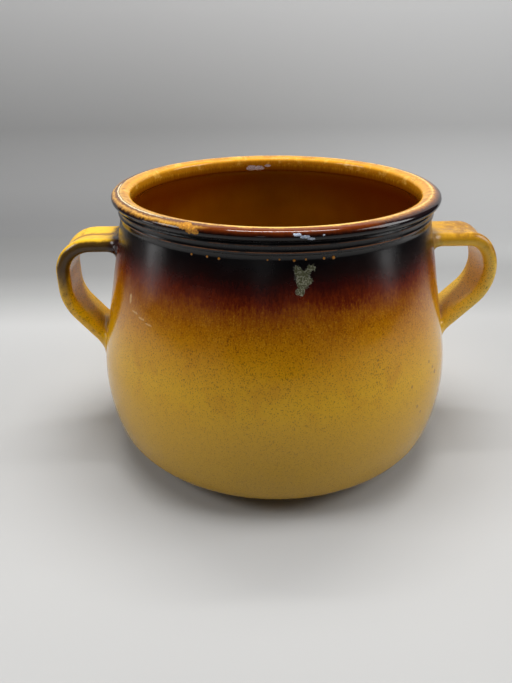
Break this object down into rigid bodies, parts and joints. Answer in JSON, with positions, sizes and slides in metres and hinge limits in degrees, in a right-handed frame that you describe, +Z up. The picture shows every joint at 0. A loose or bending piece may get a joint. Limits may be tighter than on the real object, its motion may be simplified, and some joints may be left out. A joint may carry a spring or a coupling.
{
  "type": "two-handled glazed pot",
  "caption": "Round-bellied glazed terracotta pot with a wide mouth, rolled lip, ringed collar and two pulled strap handles.",
  "frame": {"origin": "centre of the flat base, on the surface it stands on", "axes": "+Z up along the axis of the mouth, +X through the two handles, the wider handle on +X"},
  "size_m": [0.2579, 0.211, 0.153],
  "materials": {
    "glazed_terracotta": "glossy amber to dark brown glaze over a pale clay"
  },
  "bodies": {
    "root": {"pot": "glazed_terracotta"}
  },
  "joints": []
}
